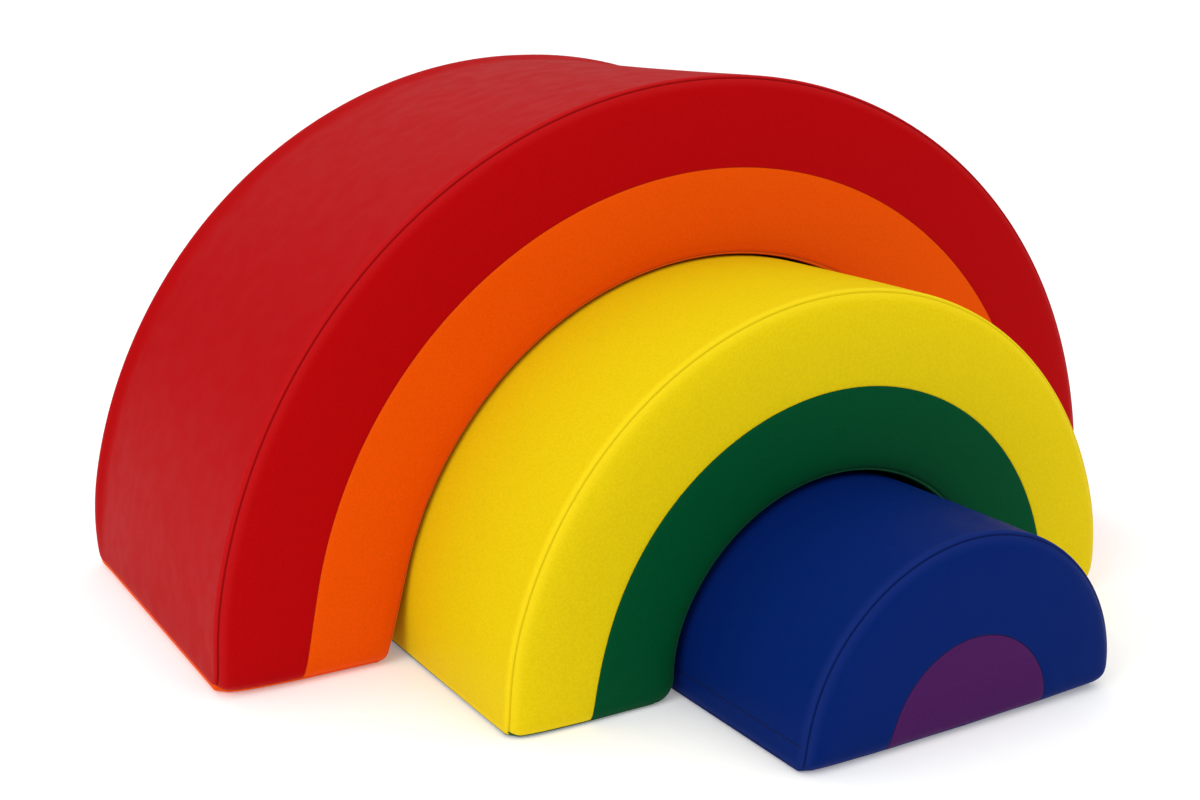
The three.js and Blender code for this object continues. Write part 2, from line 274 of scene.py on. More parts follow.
def roll(t):
    """From 1 to 0 along a quarter circle, as t goes from 0 to 1."""
    t = 1 - np.clip(t, 0, 1)
    return 1 - np.sqrt(np.maximum(0, 1 - t * t))


def fade(t):
    """From 1 to 0, level at both ends, as t goes from 0 to 1."""
    return np.square(np.clip(1 - t * t, 0, 1))


def fall(t):
    """From 1 to 0, level at the end, as t goes from 0 to 1."""
    return np.square(np.clip(1 - t, 0, 1))


def fall_back(distance, terms):
    """Sum of depths that die away with distance."""
    return sum(depth * np.exp(-distance / reach) for depth, reach in terms)


def pull(distance, amount):
    """How far a sheet is drawn in at a seam."""
    return amount * fall(distance / SEAM_WIDTH)


def column(values):
    return np.asarray(values)[:, None]


def spread(start, end, fine_start, fine_end, steps):
    """Stations from start to end, close together at both ends; start and end are arrays."""
    start, end = column(start), column(end)
    low, high = start + fine_start, end - fine_end[::-1]
    share = np.arange(1, steps) / steps
    middle = low[:, -1:] + (high[:, :1] - low[:, -1:]) * share
    return np.concatenate([low, middle, high], axis=1)


def stations(stops, spacing):
    """Points through all the stops but the first, about a spacing apart."""
    points = []
    for here, there in zip(stops, stops[1:]):
        count = max(2, int((there - here) / spacing) + 1)
        points += list(np.linspace(here, there, count)[1:])
    return np.array(points)


def length_along(x, z):
    return np.concatenate([[0], np.cumsum(np.hypot(np.diff(x), np.diff(z)))])


def arc_points(radius, angle):
    return np.stack([radius * np.cos(angle), radius * np.sin(angle)], axis=1)


def on_circle(start, end, radius):
    """Where lines from start to end cross a circle round the origin."""
    step = end - start
    a = np.sum(step * step, axis=1)
    h = np.sum(start * step, axis=1)
    c = np.sum(start * start, axis=1) - radius * radius
    share = (-h - np.sqrt(np.maximum(h * h - a * c, 0))) / a
    return start + step * share[:, None]


# Where a point of a face lies: distances from the walls and seams, and the walls' outward directions

def corner_inset(b, angle):
    """Inset of the face seam round the half-round block's corner, from the base's up to the band's."""
    share = np.clip((angle + QUARTER) / (b.lean + QUARTER), 0, 1)
    return b.face_seam + (OUTER_INSET - b.face_seam) * share


def outer_wall(b, x, z):
    """Distance from the band, its outward direction, and the inset of the seam beside it."""
    r = np.maximum(np.hypot(x, z), TINY)
    gap, nx, nz = b.radius - r, x / r, z / r
    inset = np.full_like(gap, OUTER_INSET)
    if b.dome:
        cx, cz = x - b.corner_x, z - b.corner
        angle = np.arctan2(cz, cx)
        here = (angle < b.lean) & (angle > -QUARTER - TINY) & (cx > -TINY)
        rc = np.maximum(np.hypot(cx, cz), TINY)
        gap = np.where(here, b.corner - rc, gap)
        nx, nz = np.where(here, cx / rc, nx), np.where(here, cz / rc, nz)
        inset = np.where(here, corner_inset(b, angle), inset)
    return gap, nx, nz, inset


def tunnel_wall(b, x, z):
    """Distance from the lining, which turns round the lower corners, and its outward direction."""
    r = np.maximum(np.hypot(x, z), TINY)
    if b.dome:
        return np.full_like(r, FAR), np.zeros_like(r), np.zeros_like(r)
    side = np.where(x < 0, -1.0, 1.0)
    cx, cz = np.abs(x) - b.corner_x, z - b.corner
    here = (cx < 0) & (np.arctan2(-cz, -cx) > b.lean)
    rc = np.maximum(np.hypot(cx, cz), TINY)
    gap = np.where(here, b.corner - rc, r - b.tunnel)
    nx = np.where(here, side * cx / rc, -x / r)
    nz = np.where(here, cz / rc, -z / r)
    return gap, nx, nz


def colour_line(b, z):
    """Radius of the line between a face's two colours: it turns out a little towards the floor."""
    return b.colour + b.flare * fall(z / FLARE_HEIGHT)


def floor_seam(b, x):
    """Height of the seam under a face: it lifts round the panel's lower left corner."""
    left = b.radius - OUTER_INSET
    return b.face_seam + b.corner_lift * roll((x + left) / CORNER_LIFT_REACH)


def face_gaps(b, x, z):
    """Distances on a face from its outer seam, tunnel seam, floor seam and colour line."""
    outer, _, _, inset = outer_wall(b, x, z)
    tunnel = tunnel_wall(b, x, z)[0]
    from_outer = np.maximum(outer - inset, 0)
    from_tunnel = np.maximum(tunnel - TUNNEL_INSET, 0)
    from_floor = np.maximum(z - floor_seam(b, x), 0)
    from_line = np.abs(np.hypot(x, z) - colour_line(b, z))
    return from_outer, from_tunnel, from_floor, from_line


# The give of padded vinyl

def ripple(b, p, q, size):
    """Slow unevenness, the same on every run."""
    k = b.phase
    crossed = CROSSED_SHARE * np.sin(p / CROSSED_LENGTHS[0] + k) * np.sin(q / CROSSED_LENGTHS[1] + 2 * k)
    slanted = SLANTED_SHARE * np.sin(p / SLANTED_LENGTHS[0] - q / SLANTED_LENGTHS[1] + 3 * k)
    return size * (crossed + slanted)


def face_depth(b, x, z, rear):
    """How far a face lies inside the block's end."""
    outer, tunnel, floor, line = face_gaps(b, x, z)
    tuck = b.tuck * (1 + b.tuck_right * np.clip(x / b.radius, 0, 1))
    at_outer = fall_back(outer, OUTER_ROLL)
    at_tunnel = fall_back(tunnel, TUNNEL_ROLL)
    at_floor = tuck * fall_back(floor, FLOOR_ROLL)
    depth = np.cbrt(at_outer ** 3 + at_tunnel ** 3 + at_floor ** 3)
    drawn = b.drawn * (DRAWN_SHARE_REAR if rear else 1.0) * np.where(x < 0, 1.0, DRAWN_SHARE_RIGHT)
    height = np.where(x < 0, DRAWN_HEIGHT_LEFT, DRAWN_HEIGHT_RIGHT)
    depth = depth + drawn * np.exp(-outer / DRAWN_REACH) * np.exp(-floor / height)
    depth = depth - SWELL * (line / SWELL_REACH) * np.exp(1 - line / SWELL_REACH)
    return depth + ripple(b, x, z, FACE_RIPPLE)


def face_pull(b, x, z):
    """How a face is drawn into its seams: shifts in x, v and z."""
    _, ox, oz, _ = outer_wall(b, x, z)
    _, tx, tz = tunnel_wall(b, x, z)
    outer, tunnel, floor, line = face_gaps(b, x, z)
    pulls = np.stack([pull(gap, SEAM_PULL) for gap in (outer, tunnel, floor)])
    to, tt, tf = pulls * pulls.max(axis=0) / np.maximum(pulls.sum(axis=0), TINY)
    dx = -DIAGONAL * (ox * to + tx * tt)
    dz = -DIAGONAL * (oz * to + tz * tt) + DIAGONAL * tf
    dv = DIAGONAL * (to + tt + tf) + pull(line, SEAM_PULL)
    return dx, dv, dz


def face_seams(b, x, z):
    """Distances to the nearest seam, with the colour line as one, and to the nearest edge of the face."""
    outer, tunnel, floor, line = face_gaps(b, x, z)
    edge = np.minimum(np.minimum(outer, tunnel), floor)
    width, slope, start = b.line
    return np.minimum(edge, np.where(line < width, slope * line + start, FAR)), edge


def rounded_under(b, x, z):
    """The feet lean in and round under at their outer edges, a soft heel also lifts a little off the floor,
    and the tunnel wall over a rounded corner leans."""
    side = np.where(x < 0, -1.0, 1.0)
    gap = np.maximum(b.radius - np.hypot(x, z), 0)
    heel = np.where(x < 0, HEEL_LEFT, b.heel)
    under = heel * roll(np.maximum(z, 0) / np.maximum(HEEL_HEIGHT, HEEL_HEIGHT_SHARE * heel))
    foot = b.foot * fall(z / FOOT_HEIGHT)
    if b.dome:
        inward = np.where(x < 0, under + foot, DOME_FOOT_RIGHT * foot)
        return x - side * inward * fade(gap / DOME_FOOT_REACH), z
    tunnel_gap = np.maximum(tunnel_wall(b, x, z)[0], 0)
    lean = b.toe * fall(z / TOE_HEIGHT) * fade(tunnel_gap / TOE_REACH)
    edge = fade(gap / (HEEL_REACH + HEEL_REACH_SHARE * heel))
    lift = HEEL_LIFT_SHARE * (heel - HEEL_LEFT) * edge * fall(z / HEEL_LIFT_HEIGHT)
    return x + side * (lean - (under + foot) * edge), z + lift


def settled(b, x, v, z):
    """The crown has sunk a little, on the arches towards the front. A crown with a shoulder has pushed it
    out there, and behind, that shoulder stands higher."""
    r = np.maximum(np.hypot(x, z), TINY)
    inner = b.tunnel or 0.0
    out = np.clip(SETTLE_SLOPE * (r - inner) / (b.radius - inner), 0, 1)
    sunk = b.tunnel_settle + (b.settle - b.tunnel_settle) * out
    front = 1.0 if b.dome else np.clip(1 - v / DEPTH, 0, 1)
    right = np.maximum(x / r, 0)
    up = np.maximum(z / r, 0)
    shoulder = b.shoulder * sunk * right * up
    moved_x = x + SHOULDER_OUT * shoulder * front * right
    moved_z = z - sunk * front * np.square(up) + SHOULDER_UP * shoulder * (1 - front) * up
    return moved_x, moved_z


def place(b, x, v, z, rear=False):
    """Points in the frame, with the give of the whole block; v counts from the rear for a rear face."""
    v = DEPTH - v if rear else v
    x, z = rounded_under(b, x, z)
    x, z = settled(b, x, v, z)
    return np.stack(np.broadcast_arrays(x, b.front + v, z), axis=-1)


# Meshes

def unit(vectors):
    return vectors / np.maximum(np.linalg.norm(vectors, axis=-1, keepdims=True), TINY)


def grid_cells(index):
    """The four corners of each cell of a grid of point numbers."""
    return np.stack([index[:-1, :-1], index[1:, :-1], index[1:, 1:], index[:-1, 1:]], axis=-1)


def add_object(name, points, faces, body, material, replaces=None, marks=None, angle=SHEET_ANGLE):
    """An object from points in metres; marks are values at the points for the material to read."""
    mesh = bpy.data.meshes.new(name)
    mesh.from_pydata(points.tolist(), [], faces)
    for key, values in (marks or {}).items():
        attribute = mesh.attributes.new(key, "FLOAT", "POINT")
        attribute.data.foreach_set("value", np.asarray(values, np.float32))
    bm = bmesh.new()
    bm.from_mesh(mesh)
    bmesh.ops.remove_doubles(bm, verts=bm.verts, dist=MERGE)
    bmesh.ops.dissolve_degenerate(bm, edges=bm.edges, dist=FLAT)
    bm.to_mesh(mesh)
    bm.free()
    mesh.polygons.foreach_set("use_smooth", np.ones(len(mesh.polygons), bool))
    mesh.set_sharp_from_angle(angle=math.radians(angle))
    mesh.materials.append(material)
    obj = bpy.data.objects.new(name, mesh)
    bpy.context.scene.collection.objects.link(obj)
    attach(obj, body)
    if replaces:
        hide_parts(replaces)
    return obj


def turn_outward(mesh, merge):
    """Joins points that meet and turns the faces outward."""
    bm = bmesh.new()
    bm.from_mesh(mesh)
    bmesh.ops.remove_doubles(bm, verts=bm.verts, dist=merge)
    bmesh.ops.recalc_face_normals(bm, faces=bm.faces)
    bm.to_mesh(mesh)
    bm.free()


def add_sheet(name, b, node, colour, outer, outward, seam, edge, keep=None, thick=SHEET, painted_rim_light=FAR):
    """A closed thin sheet on a grid of points. outward says which way its good side looks, seam and the last
    argument how far a point lies from a seam, where shade is painted into the crease and a highlight beside
    it, and from a lining's rim, where light is painted on; edge how far from the sewn edges, towards which
    the sheet thins out, and keep which cells of the grid are there."""
    rows, cols = outer.shape[:2]
    more = rows * cols
    cross = np.cross(np.gradient(outer, axis=0), np.gradient(outer, axis=1))
    outward = unit(np.broadcast_to(outward, outer.shape))
    turned = np.sum(cross * outward) < 0
    thick = thick * (SEWN_SHARE + (1 - SEWN_SHARE) * ease(edge / SEWN_REACH))
    inner = outer - outward * np.broadcast_to(thick, outer.shape[:2])[..., None]
    points = np.concatenate([outer.reshape(-1, 3), inner.reshape(-1, 3)]) * MM
    quads = grid_cells(np.arange(more).reshape(rows, cols))
    quads = quads[keep] if keep is not None else quads.reshape(-1, 4)
    if turned:
        quads = quads[:, ::-1]
    edges = np.concatenate([quads[:, [k, (k + 1) % 4]] for k in range(4)])
    key = np.sort(edges, axis=1) @ np.array([more, 1])
    _, first, count = np.unique(key, return_index=True, return_counts=True)
    rim = edges[first[count == 1]]
    sides = np.stack([rim[:, 1], rim[:, 0], rim[:, 0] + more, rim[:, 1] + more], axis=1)
    faces = np.concatenate([quads, quads[:, ::-1] + more, sides])
    used = np.unique(np.concatenate([quads.ravel(), quads.ravel() + more]))
    renumber = np.zeros(2 * more, int)
    renumber[used] = np.arange(len(used))
    marks = {}
    for mark, values in (("seam", seam), ("painted_rim_light", painted_rim_light)):
        marks[mark] = np.tile(np.broadcast_to(values, (rows, cols)).ravel(), 2)[used]
    obj = add_object(name, points[used], renumber[faces].tolist(), f"{b.name}_block",
                     VINYL[colour], node, marks)


# Walls

def sag_share(ahead, behind):
    """The sag comes on slowly from the front rim and ends quickly at the rear rim."""
    come = (1 - np.exp(-np.maximum(ahead - CREST, 0) / SAG_REACH)) / SAG_FULL
    return come * ease((behind - CREST) / SAG_END)


def band_sag(b, z):
    return b.sag * (SAG_AT_FLOOR + (1 - SAG_AT_FLOOR) * ease(z / SAG_HEIGHT))


def wall_sheet(name, b, node, colour, x, z, nx, nz, inset, sag, foot):
    """A band or lining, from stations along the wall: each has its outward direction, its seam's inset, its
    sag and its distance from the foot seam."""
    seam_x, seam_z = x - nx * inset, z - nz * inset
    front, rear = (face_depth(b, seam_x, np.maximum(seam_z, b.face_seam), end) for end in (False, True))
    v = spread(front, DEPTH - rear, EDGE, EDGE, WALL_STEPS)
    along = length_along(x, z)
    front, rear, x, z, nx, nz = (column(values) for values in (front, rear, x, z, nx, nz))
    inset, sag, foot, along = (column(values) for values in (inset, sag, foot, along))
    ahead, behind = v - front, DEPTH - rear - v
    rim = np.minimum(ahead, behind)
    into = inset * roll(rim / CREST)
    into = into + sag * sag_share(ahead, behind)
    into = into + ripple(b, along, v, WALL_RIPPLE) * ease(rim / RIPPLE_REACH)
    draw = pull(rim, SEAM_PULL)
    into = into + DIAGONAL * draw + pull(foot, FOOT_PULL)
    inward = np.where(v < DEPTH / 2, 1, -1)
    v = v + DIAGONAL * draw * inward
    tip = np.clip(1 - rim / CREST, 0, 1)
    up = np.sqrt(1 - tip * tip)
    outward = np.stack([nx * up, -inward * tip, nz * up], axis=-1)
    points = place(b, x - nx * into, v, z - nz * into)
    # Painted light: a lining is lightened towards its rims, which face down into shade
    painted_rim_light = rim if colour == b.inner else FAR
    add_sheet(name, b, node, colour, points, outward, np.minimum(rim, foot + FOOT_SEAM_START),
              np.minimum(rim, foot), painted_rim_light=painted_rim_light)


def band(b):
    """The outer wall, from foot to foot; on the half-round block it turns under at the right."""
    low = np.arcsin((b.side_seam + FOOT) / b.radius)
    left = math.pi - low
    if b.dome:
        angle = np.concatenate([left, np.linspace(left[-1], b.lean, b.steps)[1:]])
        turn = np.linspace(b.lean, TURN_END, CORNER_STEPS)[1:-1]
        turn = np.concatenate([turn, TURN_END + LAST_TURNS])
    else:
        middle = np.linspace(left[-1], low[-1], b.steps)[1:-1]
        angle = np.concatenate([left, middle, low[::-1]])
        turn = np.array([])
    x = np.concatenate([b.radius * np.cos(angle), b.corner_x + b.corner * np.cos(turn)])
    z = np.concatenate([b.radius * np.sin(angle), b.corner + b.corner * np.sin(turn)])
    inset = np.concatenate([np.full(len(angle), OUTER_INSET), corner_inset(b, turn)])
    foot = np.concatenate([z[:len(angle)] - b.side_seam, b.corner * (turn - TURN_END)])
    facing = np.concatenate([angle, turn])
    nx, nz = np.cos(facing), np.sin(facing)
    wall_sheet(f"{b.name}_band_cover", b, f"{b.name}_outer_band", b.outer, x, z, nx, nz,
               inset, band_sag(b, z), foot)


def lining(b):
    """The tunnel's wall, with its turns round the feet's rounded corners."""
    turn = np.concatenate([TURN_END + FIRST_TURNS,
                           np.linspace(TURN_END + LINING_TURN, -b.lean, LINING_TURN_STEPS)])
    angle = np.linspace(math.pi - b.lean, b.lean, b.steps)[1:-1]
    cx, cz = b.corner * np.cos(turn), b.corner + b.corner * np.sin(turn)
    x = np.concatenate([-b.corner_x + cx, b.tunnel * np.cos(angle), (b.corner_x - cx)[::-1]])
    z = np.concatenate([cz, b.tunnel * np.sin(angle), cz[::-1]])
    nx = np.concatenate([np.cos(turn), -np.cos(angle), -np.cos(turn)[::-1]])
    nz = np.concatenate([np.sin(turn), -np.sin(angle), np.sin(turn)[::-1]])
    length = b.corner * (turn - TURN_END)
    foot = np.concatenate([length, np.full(len(angle), FAR), length[::-1]])
    sag = b.lining_sag * ease(foot / LINING_SAG_HEIGHT)
    wall_sheet(f"{b.name}_tunnel_cover", b, f"{b.name}_tunnel_lining", b.inner, x, z, nx, nz,
               np.full(len(x), TUNNEL_INSET), sag, foot)


# Faces

def face_sheet(b, part, rear, start, end, fine_end=FINE, steps=FACE_STEPS):
    """The outer or inner panel of a face, on straight lines from one edge to the other."""
    width = np.hypot(*(end - start).T)
    at = spread(np.zeros(len(width)), width, FINE, fine_end, steps)
    share = at / column(width)
    x = start[:, :1] + (end[:, :1] - start[:, :1]) * share
    z = start[:, 1:] + (end[:, 1:] - start[:, 1:]) * share
    over_seam = np.maximum(z - b.face_seam, 0)
    z = z + (floor_seam(b, x) - b.face_seam) * np.exp(-over_seam / CORNER_LIFT_HEIGHT)
    dx, dv, dz = face_pull(b, x, z)
    seam, edge = face_seams(b, x, z)
    points = place(b, x + dx, face_depth(b, x, z, rear) + dv, z + dz, rear)
    panel = f"{b.name}_{'rear' if rear else 'front'}_{part}"
    colour = b.outer if part == "outer" else b.inner
    outward = (0, 1 if rear else -1, 0)
    add_sheet(f"{panel}_cover", b, f"{panel}_panel", colour, points, outward, seam, edge)


def foot_rows(low, top):
    """Heights of the level rows of a face, from its floor seam up."""
    return low + np.append(FOOT, FOOT_END) * (top - low) / FOOT_END


def arch_face(b, rear):
    """The two panels of an arch's face: level rows over the feet, then lines across the arch."""
    rim, inner = b.radius - OUTER_INSET, b.corner - TUNNEL_INSET
    top = b.corner - inner * math.sin(b.lean)
    z = foot_rows(b.face_seam, top)
    out = np.stack([-np.sqrt(rim * rim - z * z), z], axis=1)
    bend = np.arccos(np.clip((b.corner - z) / inner, -1, 1))
    ins = np.stack([-b.corner_x + inner * np.sin(bend), z], axis=1)
    low = math.asin(top / rim)
    share = np.linspace(0, 1, b.steps)[1:-1]
    out_mid = arc_points(rim, math.pi - low - (math.pi - 2 * low) * share)
    ins_mid = arc_points(b.tunnel + TUNNEL_INSET, math.pi - b.lean - (math.pi - 2 * b.lean) * share)
    out = np.concatenate([out, out_mid, (out * MIRROR)[::-1]])
    ins = np.concatenate([ins, ins_mid, (ins * MIRROR)[::-1]])
    line = on_circle(out, ins, b.colour)
    line = on_circle(out, ins, colour_line(b, line[:, 1]))
    face_sheet(b, "outer", rear, out, line)
    face_sheet(b, "inner", rear, line, ins)


def dome_face(b, rear):
    """The two panels of the half-round face; its right end follows the rounded corner."""
    rim = b.radius - OUTER_INSET
    z = np.append(b.face_seam + FOOT, DOME_FOOT_TOP)
    left = np.stack([-np.sqrt(rim * rim - z * z), z], axis=1)
    left_line = np.stack([-np.sqrt(b.colour ** 2 - z * z), z], axis=1)
    turn = np.linspace(-QUARTER, b.lean, 400)
    inset = corner_inset(b, turn)
    corner_x = b.corner_x + (b.corner - inset) * np.cos(turn)
    corner_z = b.corner + (b.corner - inset) * np.sin(turn)
    top = corner_z[-1]
    z = foot_rows(b.face_seam, top)
    right = np.stack([np.interp(z, corner_z, corner_x), z], axis=1)
    right_line = np.stack([np.sqrt(b.colour ** 2 - z * z), z], axis=1)
    share = np.linspace(0, 1, b.steps)[1:-1]
    out_start, out_end = math.pi - math.asin(DOME_FOOT_TOP / rim), math.atan2(right[-1, 1], right[-1, 0])
    line_start, line_end = math.pi - math.asin(DOME_FOOT_TOP / b.colour), math.asin(top / b.colour)
    out_mid = arc_points(rim, out_start + (out_end - out_start) * share)
    line_mid = arc_points(b.colour, line_start + (line_end - line_start) * share)
    out = np.concatenate([left, out_mid, right[::-1]])
    line = np.concatenate([left_line, line_mid, right_line[::-1]])
    hub = np.tile([[0.0, b.face_seam]], (len(line), 1))
    face_sheet(b, "outer", rear, out, line)
    face_sheet(b, "inner", rear, line, hub, HUB_END, HUB_STEPS)


# Bases

def zip_slit(b, x, v, run):
    """Which cells of a base panel are there beside the zip's slit, and its thickness with the hem."""
    across = (x[1:] + x[:-1]) / 2
    along = (run[1:] + run[:-1]) / 2
    slit = column(np.abs(across - b.zip_x) < SLIT_HALF) & (along > ZIP_MARGIN) & (along < DEPTH - ZIP_MARGIN)
    keep = np.ones((len(x) - 1, v.shape[1] - 1), bool)
    first = len(BASE_STEPS)
    keep[:, first:first + len(along)] &= ~slit
    beside = column(np.abs(x - b.zip_x) < HEM_HALF + HEM_SLACK)
    hem = beside & (np.abs(v - DEPTH / 2) < DEPTH / 2 - ZIP_MARGIN + HEM_SLACK)
    return keep, np.where(hem, HEM, SHEET)


def base_sheet(name, b, side, node, zipped):
    """The panel under a foot, worked out for the left foot and mirrored for the right. It is rolled up to
    the band at its outer edge, to the faces in front and behind, and round the rounded corner."""
    bend = np.linspace(0, QUARTER, LIP_STEPS)
    lip_x = LIP_OUT + LIP_WIDTH * (1 - np.cos(bend)) - b.radius
    lip_z = (b.side_seam - LIP_DROP) * (1 - np.sin(bend))
    turn = np.linspace(0, TURN_UP, BASE_TURN_STEPS)
    far_x = (b.corner_x if b.dome else -b.corner_x) + b.corner * np.sin(turn)
    far_z = b.corner - b.corner * np.cos(turn)
    stops = [lip_x[-1], far_x[0]]
    if zipped:
        stops[1:1] = [b.zip_x - HEM_HALF, b.zip_x - SLIT_HALF, b.zip_x + SLIT_HALF, b.zip_x + HEM_HALF]
    flat = stations(stops, BASE_SPACING)
    level = np.zeros(len(flat))
    x = np.concatenate([lip_x, flat, far_x[1:]])
    z = np.concatenate([lip_z, level, far_z[1:]])
    stops = [RUN_START, ZIP_MARGIN - ZIP_END_ROW, ZIP_MARGIN]
    stops += [DEPTH - stop for stop in stops[::-1]]
    run = np.append(RUN_START, stations(stops, RUN_SPACING))
    seam_x = np.clip(x, OUTER_INSET - b.radius, far_x[-1])
    lifted = floor_seam(b, seam_x) if side < 0 else np.full_like(x, b.face_seam)
    front, rear = (column(face_depth(b, -side * seam_x, lifted, end)) for end in (False, True))
    middle = np.tile(run, (len(x), 1))
    v = np.concatenate([front + BASE_STEPS, middle, DEPTH - rear - BASE_STEPS[::-1]], axis=1)
    ahead, behind = v - front, DEPTH - rear - v
    from_face = np.maximum(np.minimum(ahead, behind), 0)
    rolled_z = column(z) + column(lifted - z) * roll(from_face / BASE_ROLL)
    sink = OUTER_INSET * roll(from_face / CREST) + band_sag(b, b.side_seam) * sag_share(ahead, behind)
    sunk_x = column(x) + sink * np.clip(1 - column(x + b.radius) / SINK_REACH, 0, 1)
    keep, thick = zip_slit(b, x, v, run) if zipped else (None, SHEET)
    along = length_along(x, z)
    edge = np.minimum(from_face, column(np.minimum(along, along[-1] - along)))
    tilt = column(np.concatenate([bend - QUARTER, level, turn[1:]]))
    outward = np.stack(np.broadcast_arrays(-side * np.sin(tilt), 0 * edge, -np.cos(tilt)), axis=-1)
    points = place(b, -side * sunk_x, v, rolled_z)
    colour = b.outer if b.dome else b.inner
    add_sheet(name, b, node, colour, points, outward, edge + BASE_SEAM_START, edge, keep, thick)


# Foam

def foam_outline(b, draw, sag):
    """Outer and inner outline of a slice through the foam, with as many points each."""
    r = b.radius - FOAM_GAP - max(b.sag, 0) * sag - draw - FOAM_BAND_GAP
    start = math.asin(FOAM_FLOOR / r)
    share = np.linspace(0, 1, b.steps // 2)
    if b.dome:
        corner = b.corner - FOAM_GAP - FOAM_DRAW_CORNER * draw
        reach = r - corner
    else:
        corner = b.corner - FOAM_GAP
        tunnel = b.tunnel + FOAM_GAP + FOAM_DRAW_TUNNEL * draw + FOAM_TUNNEL_GAP
        reach = tunnel + corner
    cz = FOAM_FLOOR + corner
    cx = math.sqrt(reach ** 2 - cz ** 2)
    lean = math.asin(cz / reach)
    if b.dome:
        turn = np.linspace(lean, -QUARTER, FOAM_TURN_STEPS)
        top = arc_points(r, math.pi - start - (math.pi - start - lean) * share)
        out = np.concatenate([top, (arc_points(corner, turn) + [cx, cz])[1:]])
        across = np.linspace(out[0, 0], out[-1, 0], len(out))
        return out, np.stack([across, np.full(len(out), FOAM_FLOOR)], axis=1)
    turn = np.linspace(-QUARTER, -lean, FOAM_TURN_STEPS)
    left = arc_points(corner, turn) + [-cx, cz]
    top = arc_points(tunnel, math.pi - lean - (math.pi - 2 * lean) * share)[1:-1]
    ins = np.concatenate([left, top, (left * MIRROR)[::-1]])
    low = np.linspace(0, FOAM_FOOT_SHARE, FOAM_TURN_STEPS)
    middle = FOAM_FOOT_SHARE + (1 - 2 * FOAM_FOOT_SHARE) * share[1:-1]
    share = np.concatenate([low, middle, 1 - low[::-1]])
    return arc_points(r, math.pi - start - (math.pi - 2 * start) * share), ins


def foam_slice(b, outline, v, from_end):
    """An outline at its place, following the faces near the foam's ends."""
    x, z = outline.T
    behind = v > DEPTH / 2
    back = np.maximum(face_depth(b, x, z, behind) - FOAM_GAP, 0) * (1 - ease(from_end / FOAM_FACE_REACH))
    return place(b, x, v - back if behind else v + back, z)


def foam_core(b):
    """The foam inside, a little smaller than its cover all round."""
    middle = np.linspace(FOAM_MIDDLE, DEPTH - FOAM_MIDDLE, FOAM_MIDDLE_STEPS)
    run = np.concatenate([FOAM_STATIONS, middle, DEPTH - FOAM_STATIONS[::-1]])
    v = FOAM_END + run * (DEPTH - 2 * FOAM_END) / DEPTH
    from_end = np.minimum(v, DEPTH - v) - FOAM_END
    draws = FOAM_DRAW * roll(from_end / FOAM_DRAW_REACH)
    sags = ease(from_end / FOAM_SAG_REACH)
    outer, inner = [], []
    for draw, sag, at, end in zip(draws, sags, v, from_end):
        out, ins = foam_outline(b, draw, sag)
        outer.append(foam_slice(b, out, at, end))
        inner.append(foam_slice(b, ins, at, end))
    out, ins = np.stack(outer), np.stack(inner)
    ends = [(out[0], ins[0]), (out[-1], ins[-1])]
    feet = [(out[:, 0], ins[:, 0]), (out[:, -1], ins[:, -1])]
    grids = [out, ins]
    for one, other in ends + feet:
        grids.append(one[None] + (other - one)[None] * FOAM_ACROSS)
    points, faces, start = [], [], 0
    for grid in grids:
        rows, cols = grid.shape[:2]
        index = start + np.arange(rows * cols).reshape(rows, cols)
        points.append(grid.reshape(-1, 3) * MM)
        faces += grid_cells(index).reshape(-1, 4).tolist()
        start += rows * cols
    obj = add_object(f"{b.name}_foam_block", np.concatenate(points), faces, f"{b.name}_block",
                     FOAM, f"{b.name}_foam_core", angle=FOAM_ANGLE)
    turn_outward(obj.data, FOAM_MERGE)


# Thread

def stitches(name, b, height):
    """A row of short thread stitches along the band's left side, just over the floor."""
    rings, faces = [], []
    turn = np.arange(STITCH_SIDES) * 2 * math.pi / STITCH_SIDES
    count = len(STITCH_PROFILE)
    for start in np.arange(STITCH_START, DEPTH - STITCH_STOP, STITCH_STEP):
        index = STITCH_SIDES * len(rings) + np.arange(count * STITCH_SIDES).reshape(count, STITCH_SIDES)
        closed = np.concatenate([index, index[:, :1]], axis=1)
        faces += grid_cells(closed.T).reshape(-1, 4).tolist()
        faces += [index[0, ::-1].tolist(), index[-1].tolist()]
        for share, thin in STITCH_PROFILE:
            at = start + STITCH_LENGTH * share
            ahead, behind = at - WALL_START, DEPTH - at - WALL_START
            sink = band_sag(b, height) * sag_share(ahead, behind) + STITCH_DIP * (2 * share - 1) ** 2
            uneven = ripple(b, height - b.side_seam, at, WALL_RIPPLE)
            r = b.radius - sink - uneven * ease(min(ahead, behind) / RIPPLE_REACH)
            x = -math.sqrt(r * r - height * height) - STITCH_PROUD - THREAD_WIDTH * thin * np.sin(turn)
            rings.append(place(b, x, at, height + THREAD_HEIGHT * thin * np.cos(turn)))
    obj = add_object(name, np.concatenate(rings) * MM, faces, f"{b.name}_block", THREAD)
    turn_outward(obj.data, MERGE)


# Materials

def add_node(tree, kind, **settings):
    node = tree.nodes.new(kind)
    for key, value in settings.items():
        setattr(node, key, value)
    return node


